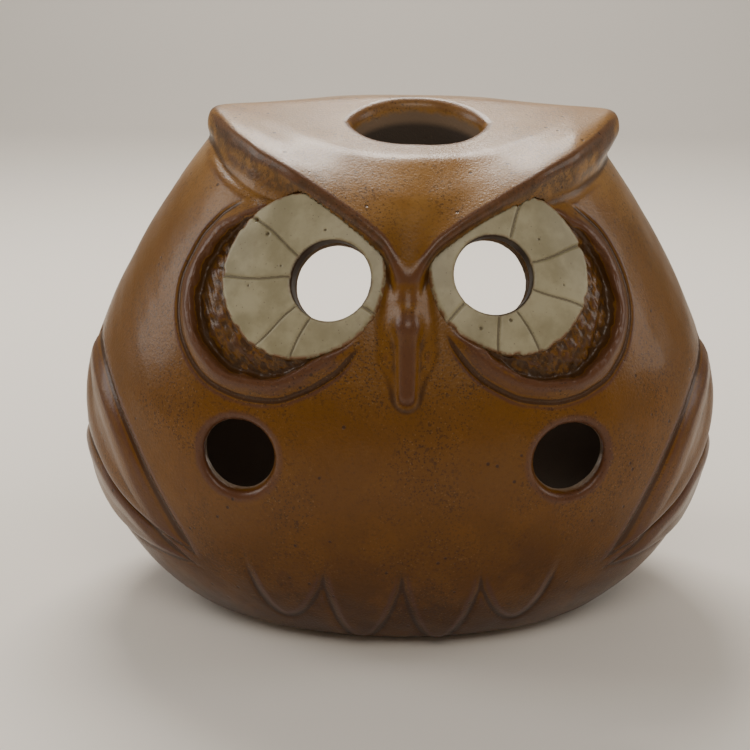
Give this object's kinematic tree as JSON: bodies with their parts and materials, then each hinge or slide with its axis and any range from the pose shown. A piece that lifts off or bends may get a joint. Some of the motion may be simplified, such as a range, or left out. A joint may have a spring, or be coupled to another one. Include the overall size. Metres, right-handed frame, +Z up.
{
  "type": "owl candle lantern",
  "caption": "Hollow glazed stoneware owl lantern with open eyes, draught holes, a top vent and an open back for a tealight.",
  "frame": {"origin": "centre of the underside of the foot", "axes": "+Z up, the owl looks along -Y, +X is the owl's own left"},
  "size_m": [0.167, 0.1265, 0.131],
  "materials": {
    "glaze": "satin amber-brown iron glaze, speckled, purplish brown where it runs thin over edges",
    "cream_glaze": "satin pale greenish cream glaze with small pits",
    "bare_clay": "unglazed buff stoneware",
    "cup_metal": "thin drawn aluminium",
    "wax": "smooth white paraffin wax",
    "wick_cotton": "braided cotton wick"
  },
  "bodies": {
    "lantern": {"body_shell": "glaze", "base_floor": "bare_clay", "brow_cap": "glaze", "beak": "glaze", "left_eye_disc": "cream_glaze", "right_eye_disc": "cream_glaze", "left_eye_ring": "glaze", "right_eye_ring": "glaze", "left_upper_wing_feather": "glaze", "left_lower_wing_feather": "glaze", "right_upper_wing_feather": "glaze", "right_lower_wing_feather": "glaze", "left_inner_breast_feather": "glaze", "right_inner_breast_feather": "glaze", "left_outer_breast_feather": "glaze", "right_outer_breast_feather": "glaze"},
    "tealight": {"tealight_cup": "cup_metal", "tealight_wax": "wax", "tealight_wick": "wick_cotton", "tealight_wick_tab": "cup_metal"}
  },
  "joints": [
    {"name": "tealight_lift_out", "type": "slide", "parent": "lantern", "child": "tealight", "axis": [0, 0.866, 0.5], "range_m": [0, 0.12]}
  ]
}
